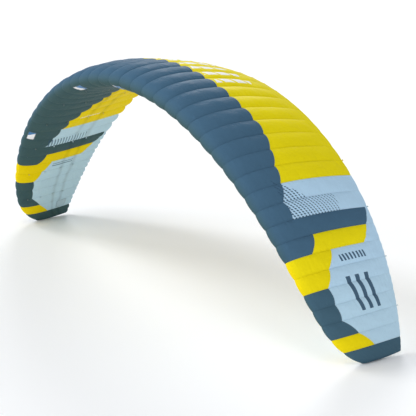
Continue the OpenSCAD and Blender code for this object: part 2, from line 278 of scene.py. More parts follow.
def new_piece(name, points, faces, material):
    """A mesh object from points and faces, shaded smooth."""
    mesh = bpy.data.meshes.new(name)
    corners = np.asarray(points, float).reshape(-1, 3).tolist()
    mesh.from_pydata(corners, [], [list(f) for f in faces])
    mesh.polygons.foreach_set("use_smooth", [True] * len(mesh.polygons))
    mesh.materials.append(material)
    mesh.update()
    piece = add_object(name, mesh)
    return piece


def grid_faces(rows, cols, start=0, closed=False):
    """Quads of a grid whose rows may close on themselves."""
    r, c = np.meshgrid(np.arange(rows - 1), np.arange(cols if closed else cols - 1), indexing="ij")
    a = start + r * cols + c
    b = start + r * cols + (c + 1) % cols
    return np.stack([a, b, b + cols, a + cols], -1).reshape(-1, 4)


def add_data(mesh, name, kind, domain, values):
    """A named value on each point or corner of a mesh."""
    made = mesh.attributes.new(name, kind, domain)
    field = {"FLOAT": "value", "FLOAT_VECTOR": "vector", "FLOAT_COLOR": "color"}[kind]
    made.data.foreach_set(field, np.asarray(values, np.float32).ravel())


def join(name, parts):
    """One object from several."""
    bpy.ops.object.select_all(action="DESELECT")
    for part in parts:
        part.select_set(True)
    bpy.context.view_layer.objects.active = parts[0]
    bpy.ops.object.join()
    parts[0].name = name
    parts[0].data.name = name
    return parts[0]


def thicken(piece, thickness):
    """Gives a sheet real thickness, half on each side."""
    modifier = piece.modifiers.new("thickness", "SOLIDIFY")
    modifier.thickness = thickness
    modifier.offset = 0.0
    modifier.use_even_offset = False
    bpy.context.view_layer.objects.active = piece
    bpy.ops.object.modifier_apply(modifier=modifier.name)


# ---- Materials ----


def srgb(code):
    """Linear colour of a hex code."""
    parts = [int(code[k : k + 2], 16) / 255 for k in (0, 2, 4)]
    return tuple(c / 12.92 if c <= 0.04045 else ((c + 0.055) / 1.055) ** 2.4 for c in parts)


class Num:
    """A number in a node tree; arithmetic on it adds Math nodes."""

    def __init__(self, paint, socket):
        self.paint = paint
        self.socket = socket

    def op(self, name, *others):
        return self.paint.math(name, self, *others)

    def __add__(self, other):
        return self.op("ADD", other)

    def __sub__(self, other):
        return self.op("SUBTRACT", other)

    def __mul__(self, other):
        return self.op("MULTIPLY", other)

    def __truediv__(self, other):
        return self.op("DIVIDE", other)

    def __rsub__(self, other):
        return self * -1.0 + other

    def above(self, other):
        return self.op("GREATER_THAN", other)

    def below(self, other):
        return self.op("LESS_THAN", other)

    def between(self, low, high):
        return self.above(low) * self.below(high)

    def near(self, middle, half):
        return (self - middle).op("ABSOLUTE").below(half)

    def band(self, middle, half):
        """1 at the middle, falling to 0 at half its width on either side."""
        return (1.0 - (self - middle).op("ABSOLUTE") / half).op("MAXIMUM", 0.0)

    def wrapped(self, length):
        """Part of a length that is passed, from 0 to 1."""
        return (self / length).op("FRACT")

    def either(self, other):
        return self.op("MAXIMUM", other)


class Paint:
    """Node tree of one material, round a Principled shader."""

    def __init__(self, name, roughness=0.5, **fixed):
        self.material = bpy.data.materials.new(name)
        self.material.use_nodes = True
        self.tree = self.material.node_tree
        self.shader = self.tree.nodes["Principled BSDF"]
        self.shader.inputs["Roughness"].default_value = roughness
        for key, value in fixed.items():
            self.shader.inputs[key.replace("_", " ")].default_value = value

    def node(self, kind, inputs=None, **settings):
        made = self.tree.nodes.new(kind)
        for key, value in settings.items():
            setattr(made, key, value)
        for place, value in (inputs or {}).items():
            self.feed(made.inputs[place], value)
        return made

    def feed(self, socket, value):
        if isinstance(value, Num):
            value = value.socket
        if isinstance(value, bpy.types.NodeSocket):
            self.tree.links.new(value, socket)
        else:
            socket.default_value = value

    def math(self, operation, *values):
        made = self.node("ShaderNodeMath", dict(enumerate(values)), operation=operation)
        return Num(self, made.outputs[0])

    def attribute(self, name):
        return self.node("ShaderNodeAttribute", attribute_name=name)

    def split(self, vector):
        """The three numbers of a vector."""
        made = self.node("ShaderNodeSeparateXYZ", {0: vector})
        return [Num(self, made.outputs[k]) for k in range(3)]

    def parts(self, name):
        """The three numbers of a vector attribute."""
        return self.split(self.attribute(name).outputs["Vector"])

    def colour(self, name):
        return self.attribute(name).outputs["Color"]

    def mix(self, factor, first, second, blend="MIX"):
        made = self.node("ShaderNodeMix", data_type="RGBA", blend_type=blend)
        self.feed(made.inputs["Factor"], factor)
        for place, colour in ((6, first), (7, second)):
            self.feed(made.inputs[place], (*colour, 1) if isinstance(colour, tuple) else colour)
        return made.outputs[2]

    def noise(self, scale, detail=2.0, distortion=0.0):
        place = self.node("ShaderNodeTexCoord").outputs["Object"]
        inputs = {"Scale": scale, "Detail": detail, "Distortion": distortion, "Vector": place}
        return Num(self, self.node("ShaderNodeTexNoise", inputs).outputs[0])

    def shaded(self, colour, amount):
        """A colour made lighter or darker by an amount about 0."""
        made = self.node("ShaderNodeCombineColor", {0: amount + 1.0, 1: amount + 1.0, 2: amount + 1.0})
        return self.mix(1.0, colour, made.outputs[0], "MULTIPLY")

    def finish(self, colour, height=None, distance=0.001, roughness=None):
        self.feed(self.shader.inputs["Base Color"], colour)
        if roughness is not None:
            self.feed(self.shader.inputs["Roughness"], roughness)
        if height is not None:
            inputs = {"Height": height, "Distance": distance, "Strength": 1.0}
            self.feed(self.shader.inputs["Normal"], self.node("ShaderNodeBump", inputs).outputs[0])
        return self.material


# Each cloth's colour on the upper side, then a darker copy of it for the lower side of the wing, which
# paints the shade that falls there
SLATE = (srgb("44637B"), srgb("3F5759"))
YELLOW = (srgb("E6D516"), srgb("E6CB0D"))
SKY = (srgb("B2D1E8"), srgb("B4D0DB"))
# Colours of the white cloth and of the prints
WHITE = srgb("ECEDEE")
PRINT = srgb("3A546B")


RIPSTOP = 0.005  # pitch of the reinforcing threads, in metres
RIPSTOP_THREAD = 0.16  # share of the pitch that a thread fills
WEAVE = 9000  # pace of the fine weave, in radians per metre
ALLOWANCE = 0.007  # width of the seam allowance on each side of a rib
STITCH_LINE = (0.0035, 0.0007)  # distance of the stitches from the rib, and their half width
STITCH_PITCH = 0.0035


def ripstop(along, aft):
    """Height of the reinforcing threads and of the fine weave."""
    threads = [place.wrapped(RIPSTOP).below(RIPSTOP_THREAD) for place in (along, aft)]
    grid = threads[0].either(threads[1])
    weave = ((along * WEAVE).op("SINE") * (aft * WEAVE).op("SINE")) * 0.12
    return grid, grid * 0.6 + weave


# Prints: k is the place along the span, counted in cells from the wing tip, and x the chord share
BAR_PLACES = (0.475, 0.585, 0.700)
BAR_HALF = 0.025
BAR_SPAN = (3.25, 5.35)
DASH_ROW = (6.22, 6.60)
HATCH_FROM = 9.0
FADING = 0.55  # how fast the dashes of a hatch get shorter toward the rear
STRAPS = (0.57, 0.72)
STRAP_HALF = 0.040


def top_prints(k, x):
    """Dark marks on top of the wing: three bars, a row of dashes and a hatch."""
    leaning = x + (k - 4.3) * 0.030
    first, second, third = (leaning.near(place, BAR_HALF) for place in BAR_PLACES)
    bars = first.either(second).either(third) * k.between(*BAR_SPAN)
    row = (x + (k - 6.4) * 0.05).wrapped(0.04).below(0.52)
    row = row * x.between(0.44, 0.75) * k.between(*DASH_ROW)
    dash = (x + k * 0.085).wrapped(0.032).below(0.62 - x * FADING) * k.wrapped(0.115).below(0.72)
    front = (12.35 - x * 5.6).op("MAXIMUM", 10.0)
    hatch = dash * k.above(HATCH_FROM) * k.below(front) * x.between(0.20, 0.68)
    return bars.either(row).either(hatch)


def low_prints(k, x):
    """Dark lines and hatch, and white dashes, on the lower side of the wing."""
    lines = (k.near(6.72, 0.03).either(k.near(6.52, 0.05))) * x.between(0.42, 0.70)
    hatch = (x + k * 0.02).wrapped(0.034).below(0.66 - x * FADING)
    hatch = hatch * k.between(HATCH_FROM, 9.85) * x.between(0.24, 0.70)
    dashes = x.wrapped(0.021).below(0.6) * k.near(12.15, 0.10) * x.between(0.47, 0.69)
    return lines.either(hatch), dashes


def white_stripes(cell, inward, x):
    """Broken stripes on top of the middle cells, one along each cell."""
    slanted = x - inward * 0.05
    stripe = cell.above(18.5) * inward.between(0.30, 0.72) * slanted.between(0.445, 0.77)
    return stripe * (slanted + inward * 0.12 + cell * 0.043).wrapped(0.115).below(0.76)


def strap_bands(paint, x, seam):
    """Shade of the two strap rows inside the lower side, stronger near the ribs."""
    wandering = x + (paint.noise(4.0, 2.0) - 0.5) * 0.05
    front, rear = (wandering.band(place, STRAP_HALF) for place in STRAPS)
    return front.either(rear) * ((seam * -30.0).op("EXPONENT") * 0.10 + 0.15)


def sail_material():
    """Coated ripstop of all the sails, with colours, seams, stitches and prints."""
    paint = Paint("sail_ripstop", Specular_IOR_Level=0.015)
    cell, inward, x = paint.parts("cell")
    edge_a, edge_b, seam = paint.parts("edges")
    low = Num(paint, paint.attribute("low").outputs["Fac"])
    along, aft, _ = paint.split(paint.node("ShaderNodeUVMap", uv_map="cloth").outputs[0])
    k = cell - 1.0 + inward
    colour = paint.mix(x.above(edge_a), paint.colour("front_colour"), paint.colour("middle_colour"))
    colour = paint.mix(x.above(edge_b), colour, paint.colour("back_colour"))
    upper = low.below(0.5)
    colour = paint.mix(white_stripes(cell, inward, x) * upper * 0.95, colour, WHITE)
    colour = paint.mix(top_prints(k, x) * upper * 0.95, colour, PRINT)
    dark, pale = low_prints(k, x)
    colour = paint.mix(dark * low * 0.75, colour, PRINT)
    colour = paint.mix(pale * low * 0.85, colour, WHITE)
    grid, weave = ripstop(along, aft)
    broad = paint.noise(2.2, 3.0) - 0.5
    fine = paint.noise(38.0, 4.0, distortion=0.6) - 0.5
    allowance = seam.below(ALLOWANCE)
    cross = (x - edge_a).near(0.004, 0.0045).either((x - edge_b).near(0.004, 0.0045)) * x.below(0.985)
    thread = seam.near(*STITCH_LINE) * aft.wrapped(STITCH_PITCH).below(0.6) * (1.0 - low * 0.7)
    tone = broad * 0.10 + fine * 0.09 + grid * 0.035 - allowance * 0.06 - cross * 0.06 + thread * 0.10
    colour = paint.shaded(colour, tone - strap_bands(paint, x, seam) * low)
    rough = (fine * 0.20 + broad * 0.12 + 0.46) + allowance * 0.1
    crease = paint.noise(16.0, 4.0, distortion=1.2) * (low * 5.0 + 4.0)
    height = weave * 0.25 + crease + allowance * 0.5 + cross * 0.6 - thread * 0.5
    return paint.finish(colour, height, distance=0.0006, roughness=rough)


def cloth_material(name, base, weave_scale=1400.0, mark=None):
    """Plain woven cloth, with a second colour where its mark is above 0."""
    paint = Paint(name, roughness=0.6, Sheen_Weight=0.2)
    x, y, z = paint.split(paint.node("ShaderNodeTexCoord").outputs["Object"])
    weave = (x * weave_scale).op("SINE") + (y * weave_scale).op("SINE") + (z * weave_scale).op("SINE")
    colour = base
    if mark is not None:
        colour = paint.mix(Num(paint, paint.attribute("mark").outputs["Fac"]).above(0.0), base, mark)
    tone = (paint.noise(60.0, 4.0) - 0.5) * 0.22 + weave * 0.03
    height = weave * 0.5 + paint.noise(90.0, 3.0)
    return paint.finish(paint.shaded(colour, tone), height, distance=0.0004)


def webbing_material():
    """Woven tape with a herringbone rib and pale stitches near its ends."""
    paint = Paint("webbing_tape", roughness=0.7, Sheen_Weight=0.3)
    run, across, _ = paint.parts("tape")
    base = paint.colour("panel_colour")
    rib = ((run * 2600.0 + (across * 900.0).op("SINE") * 1.5).op("SINE")) * 0.5
    stitch = run.wrapped(0.004).below(0.55) * across.op("ABSOLUTE").near(0.003, 0.0005)
    tone = rib * 0.16 + (paint.noise(120.0, 3.0) - 0.5) * 0.2
    colour = paint.mix(stitch * 0.5, paint.shaded(base, tone), srgb("CFD2CC"))
    return paint.finish(colour, rib + stitch * 0.6, distance=0.0004)


def plastic_material(name, base, roughness):
    """Moulded plastic with faint mottling and scratches."""
    paint = Paint(name, roughness=roughness)
    mottle = paint.noise(55.0, 3.0) - 0.5
    fine = paint.noise(700.0, 2.0) - 0.5
    colour = paint.shaded(base, mottle * 0.18 + fine * 0.12)
    return paint.finish(colour, fine, distance=0.0002, roughness=mottle * 0.1 + roughness)


def metal_material():
    """Enamelled zinc of the zip slider, worn a little at random."""
    paint = Paint("enamelled_zinc", roughness=0.35, Metallic=0.85)
    wear = paint.noise(420.0, 5.0).above(0.62)
    colour = paint.mix(wear, srgb("55585C"), srgb("A8A9AB"))
    return paint.finish(colour, paint.noise(900.0, 2.0), distance=0.0001, roughness=wear * 0.15 + 0.30)


SAIL = sail_material()
RIB_CLOTH = cloth_material("rib_cloth", WHITE)
VALVE_CLOTH = cloth_material("valve_cloth", srgb("F2F0F2"), mark=srgb("1F6FA8"))
FLAP_CLOTH = cloth_material("flap_cloth", srgb("A6C1CC"), mark=srgb("90AAB8"))
ZIP_CLOTH = cloth_material("zip_cloth", srgb("1B1D20"), 2600.0)
BINDING = cloth_material("binding_tape", srgb("3A5059"), 2600.0)
PALE_BINDING = cloth_material("pale_binding_tape", srgb("9DB6C2"), 2600.0)
WEBBING = webbing_material()
ROD_PLASTIC = plastic_material("rod_nylon", srgb("3A3C3E"), 0.38)
ZIP_PLASTIC = plastic_material("zip_teeth", srgb("26282B"), 0.28)
ZIP_METAL = metal_material()


# ---- Panels of colour ----

CENTRE_CELL = 23
NO_CHANGE = (2.0, 2.0)  # beyond the trailing edge
# Colours of a cell from nose to trailing edge, then the chord shares where they change, at its
# outer and at its inner seam. Cells are counted from the wing tip, up to the centre cell.
TOP_ZONES = {
    1: ((SLATE,), ()),
    2: ((YELLOW, SKY), ((0.47, 0.33),)),
    3: ((SLATE, SKY), ((0.33, 0.20),)),
    4: ((SLATE, SKY), ((0.20, 0.205),)),
    5: ((SLATE, SKY), ((0.205, 0.21),)),
    6: ((YELLOW, SKY), ((0.21, 0.30),)),
    7: ((YELLOW, SKY), ((0.30, 0.40),)),
    8: ((SLATE, YELLOW, SKY), ((0.21, 0.30), (0.79, 0.90))),
    9: ((SLATE, SKY), ((0.90, 0.975),)),
    10: ((SLATE, SKY), ((0.20, 0.20),)),
    11: ((SLATE, SKY), ((0.20, 0.27),)),
}
NOSE_EDGE_SEAMS = (11, 12, 13, 14, 15, 23)
NOSE_EDGE_TOP = (0.27, 0.31, 0.37, 0.415, 0.43, 0.44)
NOSE_EDGE_LOW = (0.33, 0.36, 0.43, 0.48, 0.52, 0.55)
LOW_CHANGES = {10: ((0.23, 0.29),), 11: ((0.29, 0.33),)}
SCALLOP = 0.010  # how far an edge between two colours bows back in mid-cell, in chord shares
LOW_SCALLOP = 0.024  # the same for the long nose edge on the lower side
SHADE_TURN = (-0.22, 0.10)  # places over which the cloth turns to its lower side's painted shade, down from the nose
TIP_SHADE = 0.40  # share of that painted shade on top of the wing tips
TIP_SHADE_CELLS = (4.0, 8.0)  # cells over which it fades out, counted from the tip


def zone(cell, low):
    """Three colours of a cell and two pairs of chord shares where they change."""
    if cell in TOP_ZONES:
        colours, changes = TOP_ZONES[cell]
        if low:
            changes = LOW_CHANGES.get(cell, changes)
    else:
        places = NOSE_EDGE_LOW if low else NOSE_EDGE_TOP
        seams = (cell - 1, min(cell, CENTRE_CELL - 1))
        edge = [float(np.interp(seam, NOSE_EDGE_SEAMS, places)) for seam in seams]
        colours, changes = (SLATE, YELLOW), (tuple(edge),)
    colours = colours + (colours[-1],) * (3 - len(colours))
    changes = changes + (NO_CHANGE,) * (2 - len(changes))
    return colours, changes


COLUMNS = 12
HEM_FOLD = (0.97, 0.985)  # chord shares over which the hem gets its thickness


def snapped(places, marks):
    """Places, with the nearest ones moved onto the marks."""
    for mark in marks:
        places[np.abs(places - mark).argmin()] = mark
    return places


def columns(first, last, marks=()):
    """Rib numbers of the mesh columns from rib first to rib last, closer together at the seams."""
    part = (1 - np.cos(np.pi * np.arange(COLUMNS) / COLUMNS)) / 2
    places = np.array([i + p for i in range(first, last) for p in part] + [float(last)])
    return snapped(places, marks)


def window_of(cell):
    """Rib numbers and outline places of the opening in a cell."""
    if cell in SAND_CELLS:
        return cell + SAND_EDGE, cell + 1 - SAND_EDGE, *SAND_V
    return cell + INLET_EDGE, cell + 1 - INLET_EDGE, *INLET_V


def cloth_sheet(name, r, v, windows=(), hem=0.0):
    """A sheet of sail over the columns r and rows v, open where a window is.

    A hem is the distance that the cloth stands off near the trailing edge, where it is folded.
    """
    cells = np.floor((r[:-1] + r[1:]) / 2)
    col_cell = np.append(cells, cells[-1])
    grid_r, grid_v = np.meshgrid(r, v)
    off = hem * smooth(*HEM_FOLD, grid_v**2)
    points = sail_point(grid_r, grid_v, np.broadcast_to(col_cell, grid_r.shape), off)
    faces = grid_faces(len(v), len(r))
    face_cell = np.tile(cells, len(v) - 1)
    face_v = np.repeat((v[:-1] + v[1:]) / 2, len(r) - 1)
    face_r = np.tile((r[:-1] + r[1:]) / 2, len(v) - 1)
    keep = np.ones(len(faces), bool)
    for r0, r1, v0, v1 in windows:
        keep &= ~((face_r > r0) & (face_r < r1) & (face_v > v0) & (face_v < v1))
    faces, face_cell, face_v = faces[keep], face_cell[keep], face_v[keep]
    used = np.unique(faces)
    renumber = np.zeros(grid_r.size, int)
    renumber[used] = np.arange(len(used))
    piece = new_piece(name, points.reshape(-1, 3)[used], renumber[faces], SAIL)
    paint_cells(piece.data, grid_r.ravel()[faces], grid_v.ravel()[faces], face_cell, face_v < 0)
    return piece


def paint_cells(mesh, r, v, cell, low):
    """Puts cell coordinates, colours with their painted shade, and colour edges on the corners of a
    sail mesh.
    """
    f = r - cell[:, None]
    from_tip = CENTRE_CELL - np.abs(cell + 1).astype(int)
    right = cell >= 0
    inward = np.where(right[:, None], 1 - f, f)
    x = v * v
    width = width_of(cell)
    seam = np.minimum(f, 1 - f) * width[:, None]
    zones = {(t, b): zone(t, b) for t in set(from_tip.tolist()) for b in (False, True)}
    chosen = [zones[t, b] for t, b in zip(from_tip.tolist(), low.tolist())]
    change = np.array([z[1] for z in chosen])
    scallop = np.where(low & (from_tip > NOSE_EDGE_SEAMS[0]), LOW_SCALLOP, SCALLOP)
    edges = change[:, :, 0, None] + (change[:, :, 1] - change[:, :, 0])[:, :, None] * inward[:, None, :]
    edges = edges + (scallop[:, None] * 4 * f * (1 - f))[:, None, :]
    number = np.broadcast_to(from_tip[:, None], x.shape)
    add_data(mesh, "cell", "FLOAT_VECTOR", "CORNER", np.stack([number, inward, x], -1))
    add_data(mesh, "edges", "FLOAT_VECTOR", "CORNER", np.stack([edges[:, 0], edges[:, 1], seam], -1))
    add_data(mesh, "low", "FLOAT", "CORNER", np.repeat(low, 4))
    # painted shade on top of the wing tips: a share of the lower side's darker colours
    tip_shade = TIP_SHADE * smooth(-TIP_SHADE_CELLS[1], -TIP_SHADE_CELLS[0], -from_tip)[:, None]
    # painted shade: below the nose the colours turn to their darker lower-side copies
    under = np.maximum(smooth(*SHADE_TURN, -v), tip_shade)[:, :, None]
    for k, name in enumerate(("front_colour", "middle_colour", "back_colour")):
        upper, lower = (np.array([z[0][k][side] for z in chosen])[:, None, :] for side in (0, 1))
        rgb = upper + (lower - upper) * under
        add_data(mesh, name, "FLOAT_COLOR", "CORNER", np.concatenate([rgb, np.ones_like(under)], -1))
    s = share(r)
    uv = np.stack([HALF_SPAN * s, run_of(s, v)], -1)
    layer = mesh.uv_layers.new(name="cloth")
    layer.data.foreach_set("uv", uv.astype(np.float32).ravel())


# Outline places of the mesh rows, with rows on the edges of the openings
TOP_ROWS = np.sqrt(np.linspace(NOSE_V[1] ** 2, SKIN_END**2, 100))
NOSE_ROWS = snapped(np.linspace(*NOSE_V, 65), INLET_V)
LOW_ROWS = snapped(-np.sqrt(np.linspace(SKIN_END**2, NOSE_V[0] ** 2, 100)), SAND_V)


# ---- Sections of the canopy ----

SECTIONS = {
    "centre": ("centre_section", -INNER_SEAM - 1, INNER_SEAM),
    "mid_right": ("mid_section_right", INNER_SEAM, OUTER_SEAM),
    "mid_left": ("mid_section_left", -1 - OUTER_SEAM, -1 - INNER_SEAM),
    "tip_right": ("tip_section_right", OUTER_SEAM, TIP_RIB),
    "tip_left": ("tip_section_left", -1 - TIP_RIB, -1 - OUTER_SEAM),
}
BEND_LENGTH = 0.40  # length of cloth over which a bend between two sections would spread; the script makes no such bend
NOSE_SHARE = 0.1  # what the blunt nose adds to the length of its cloth, in chords


def attach(piece, tag):
    """Moves a piece with the centre section; outside the centre it only bakes the piece's placement
    into its mesh.
    """
    body = SECTIONS[tag][0]
    if tag == "centre":
        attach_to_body(piece, body)
        return
    kind, side = tag.split("_")
    sign = 1 if side == "right" else -1
    parent = "centre_section" if kind == "mid" else "mid_section_" + side
    s = sign * rib_share(INNER_SEAM if kind == "mid" else OUTER_SEAM)
    start = Vector(put(s, ROOT_CHORD / 2, 0.0))
    start + sign * BEND_LENGTH * rib_axis(s)
    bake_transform(piece)


def stand_in(piece, node, tag):
    """Puts a piece in place of a CAD node; a piece of the centre moves with its section."""
    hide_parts(node)
    attach(piece, tag)


def declare(first, last, v):
    """Works out how large a sail panel was cut, between two ribs and two outline places, and keeps
    nothing of it.
    """
    s = share(np.linspace(first, last, 60))
    x = np.abs(v * np.abs(v))
    one_sided = v.min() * v.max() > 0
    lengths = chord(s) * (x.max() - x.min() if one_sided else x[0] + x[-1] + NOSE_SHARE)
    width, length = HALF_SPAN * (s[-1] - s[0]), float(lengths.max())
    area = min(float(width * lengths.mean()), width * length)


def make_sails(tag):
    """The upper, nose and lower panels of one section."""
    _, first, last = SECTIONS[tag]
    inlets = [window_of(c) for c in INLET_CELLS if first <= c < last]
    sand = [window_of(c) for c in SAND_CELLS if first <= c < last]
    for word, rows, windows, slot in (
        ("top_skin", TOP_ROWS, [], "sail_aft"),
        ("nose_skin", NOSE_ROWS, inlets, "sail_nose"),
        ("bottom_skin", LOW_ROWS, sand, "sail_under"),
    ):
        marks = [m for w in windows for m in w[:2]]
        piece = cloth_sheet(f"{word}_cloth_{tag}", columns(first, last, marks), rows, windows)
        declare(first, last, rows)
        stand_in(piece, f"{word}_{tag}", tag)


HEM_HALF = 0.0013
HEM_ROWS = 12
HEM_LAST = 0.9985  # chord share of the last row before the fold


def make_trailing(tag):
    """The rear strip, which folds round the trailing edge in a stitched hem."""
    _, first, last = SECTIONS[tag]
    upper = np.sqrt(np.linspace(SKIN_END**2, HEM_LAST, HEM_ROWS))
    v = np.concatenate([upper, -upper[::-1]])
    piece = cloth_sheet(f"trailing_hem_{tag}", columns(first, last), v, hem=HEM_HALF)
    width = HALF_SPAN * float(share(last) - share(first))
    depth = 2 * (1 - SKIN_END**2) * float(chord(share(np.linspace(first, last, 30))).mean())
    stand_in(piece, f"trailing_panel_{tag}", tag)


# ---- Inner structure ----


def make_inside(tag):
    """Ribs, diagonal bands and nose rods of a section, with the shape of their CAD nodes.

    Elsewhere copies stand in.
    """
    for word, name, material, slot in (
        ("ribs", "rib_set", RIB_CLOTH, "rib_cloth"),
        ("diagonal_ribs", "diagonal_set", RIB_CLOTH, "rib_cloth"),
        ("nose_rods", "nose_rod_set", ROD_PLASTIC, "rod_plastic"),
    ):
        node = f"{word}_{tag}"
        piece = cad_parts[node]
        if tag != "centre":
            piece = add_object(f"{name}_{tag}", piece.data.copy())
            stand_in(piece, node, tag)
        piece.data.materials.clear()
        piece.data.materials.append(material)


# ---- Webbing loops ----

TAPE_WIDTH = 0.010
TAPE_THICK = 0.0016
LOOP_RADIUS = 0.0080
LOOP_CENTRE = 0.013
LOOP_POINTS = 34
LOOP_GAP = TAPE_THICK * 0.55  # half the distance between the sewn ends of a loop
BRAKE_CENTRE = 0.012
HANGING_STEM = (0.001, -0.003)  # heights off the skin between which a bridle loop's ends are sewn
BRAKE_STEM = (0.0005, 0.003)  # distances behind the trailing edge, for a brake loop's ends
WEBBING_GREY = srgb("7B878B")
WEBBING_TINT = 0.85  # share of its panel's colour, painted shade included, in a loop's webbing


def from_centre(i):
    """Number of rib i counted from the centre, alike on both wings."""
    return -1 - i if i < 0 else i


def panel_colour(i, x):
    """Colour of the lower sail beside rib i at chord share x, with its painted shade."""
    from_tip = TIP_RIB + 1 - from_centre(i)
    colours, changes = zone(min(from_tip, CENTRE_CELL), True)
    return colours[sum(x > change[0] for change in changes)][1]


def tape_loop(s, path, colour):
    """A loop of webbing from its centre line, given as [aft, out] points in the section at share s."""
    path = np.array(path)
    step = np.gradient(path, axis=0)
    step = step / np.linalg.norm(step, axis=1)[:, None]
    side = np.stack([-step[:, 1], step[:, 0]], -1) * TAPE_THICK / 2
    axis = np.array(rib_axis(s))
    rings = []
    for half, offset in ((-1, side), (1, side), (1, -side), (-1, -side)):
        base = put(np.full(len(path), s), path[:, 0] + offset[:, 0], path[:, 1] + offset[:, 1])
        rings.append(base + half * axis * TAPE_WIDTH / 2)
    points = np.stack(rings, 1)
    faces = grid_faces(len(path), 4, closed=True).tolist() + [[3, 2, 1, 0]]
    last = 4 * (len(path) - 1)
    faces.append([last, last + 1, last + 2, last + 3])
    piece = new_piece("loop", points, faces, WEBBING)
    run = np.concatenate([[0], np.cumsum(np.linalg.norm(np.diff(path, axis=0), axis=1))])
    across = np.array([-0.5, 0.5, 0.5, -0.5]) * TAPE_WIDTH
    data = np.stack([np.repeat(run, 4), np.tile(across, len(path)), np.zeros(4 * len(path))], -1)
    add_data(piece.data, "tape", "FLOAT_VECTOR", "POINT", data)
    tint = [WEBBING_TINT * c + (1 - WEBBING_TINT) * grey for c, grey in zip(colour, WEBBING_GREY)]
    add_data(piece.data, "panel_colour", "FLOAT_COLOR", "POINT", np.tile([*tint, 1.0], (len(data), 1)))
    return piece


def ring_path(middle, start):
    """Nearly closed ring of webbing round its middle, from a start angle in degrees."""
    aft, out = middle
    turn = np.radians(np.linspace(start, start + 340, LOOP_POINTS))
    return [(aft + LOOP_RADIUS * math.cos(a), out + LOOP_RADIUS * math.sin(a)) for a in turn]


def hanging_path(aft, out):
    """Centre line of a bridle loop below the skin: down, round and back up."""
    before = [(aft - LOOP_GAP, out + place) for place in HANGING_STEM]
    after = [(aft + LOOP_GAP, out + place) for place in HANGING_STEM[::-1]]
    return before + ring_path((aft, out - LOOP_CENTRE), 100) + after


def brake_path(aft, out):
    """Centre line of a brake loop behind the trailing edge."""
    before = [(aft + place, out - LOOP_GAP) for place in BRAKE_STEM]
    after = [(aft + place, out + LOOP_GAP) for place in BRAKE_STEM[::-1]]
    return before + ring_path((aft + BRAKE_CENTRE, out), 190) + after


def loop_ribs(tag):
    """Every third rib of a section; the rib at a seam belongs to the inner section."""
    _, first, last = SECTIONS[tag]
    if tag == "centre":
        ribs = range(first, last + 1)
    elif first > 0:
        ribs = range(first + 1, min(last, TIP_RIB - 1) + 1)
    else:
        ribs = range(max(first, -TIP_RIB), last)
    return [i for i in ribs if from_centre(i) % 3 == 1]


def add_loops(kind, tag, ribs, places, path):
    """Webbing loops of one kind in a section, as one piece in place of their CAD node."""
    loops = []
    for i in ribs:
        s = rib_share(i)
        for v in places:
            aft, out = outer(s, v)
            loops.append(tape_loop(s, path(float(aft), float(out)), panel_colour(i, v * v)))
    if loops:
        piece = join(f"{kind}_loop_tapes_{tag}", loops)
        stand_in(piece, f"{kind}_loops_{tag}", tag)


def make_loops(tag):
    """Bridle loops of one section, and brake loops outside the centre."""
    ribs = loop_ribs(tag)
    add_loops("bridle", tag, ribs, [-math.sqrt(x) for x in LOOP_PLACES], hanging_path)
    rear = [i for i in ribs if from_centre(i) > INNER_SEAM + 1]
    add_loops("brake", tag, rear, [1.0], brake_path)


# ---- Inlets, flaps and tips ----

BINDING_STEPS = 24  # points along each side of an opening
BINDING_UNDER = 0.0008  # how far the tape reaches round the cloth's edge into the opening
V_SPREAD = 0.25


def pushed(places, low, high, distance):
    """Places along an opening, with those on its edges at low and high moved outward."""
    middle = (low + high) / 2
    on_edge = np.abs(places - middle) > 0.999 * (high - low) / 2
    return places + np.sign(places - middle) * on_edge * distance


def binding(name, cell, window, material, width=0.009, raised=0.0008):
    """Tape sewn round the edge of an opening."""
    r0, r1, v0, v1 = window
    n = BINDING_STEPS
    side = np.linspace(0, 1, n, endpoint=False)
    r = np.concatenate([r0 + (r1 - r0) * side, np.full(n, r1), r1 + (r0 - r1) * side, np.full(n, r0)])
    v = np.concatenate([np.full(n, v0), v0 + (v1 - v0) * side, np.full(n, v1), v1 + (v0 - v1) * side])
    s = share(np.array((r0 + r1) / 2))
    v_per_metre = 1 / (abs(v0 + v1) * float(chord(s)) + V_SPREAD)
    profile = (
        (-BINDING_UNDER, -raised),
        (-BINDING_UNDER * 1.25, raised * 0.6),
        (width * 0.3, raised),
        (width, raised),
        (width, -raised * 0.5),
    )
    rows = []
    for outward, off in profile:
        rr = np.clip(pushed(r, r0, r1, outward / width_of(cell)), cell + 0.001, cell + 0.999)
        vv = pushed(v, v0, v1, outward * v_per_metre)
        rows.append(sail_point(rr, vv, np.full(len(rr), float(cell)), off))
    faces = grid_faces(len(rows), 4 * n, closed=True)
    return new_piece(name, np.stack(rows), faces, material)


FLAP_ROWS = 15
FLAP_COLUMNS = 41
FLAP_THICK = 0.0012
FLAP_CORNER = 0.04  # how much narrower a flap is at its rounded corners
FLAP_RIPPLE = 0.0005
FLAP_HEM = 0.86  # share of a flap's size inside its hem
BLUE_SLANT = 0.4

# How each kind of flap lies: places of its opening, laps beyond the opening's front and rear
# edges, distance off the sail, share of the cell's width, material and slot
VALVE = (INLET_V, (0.01, 0.02), -0.0022, 1 - 1.4 * INLET_EDGE, VALVE_CLOTH, "valve_cloth")
SAND = (SAND_V, (0.02, 0.015), 0.0028, 1 - 1.5 * SAND_EDGE, FLAP_CLOTH, "sail_nose")
SAND_BINDING = 0.008
# Body of each valve flap, its section, and the share of it that is blue; below 0, on its left
VALVE_NAMES = {
    -13: ("valve_flap_outer_left", "mid_left", 0.30),
    -5: ("valve_flap_inner_left", "centre", 0.42),
    -1: ("valve_flap_centre", "centre", 0.55),
    3: ("valve_flap_inner_right", "centre", -0.42),
    11: ("valve_flap_outer_right", "mid_right", -0.30),
}


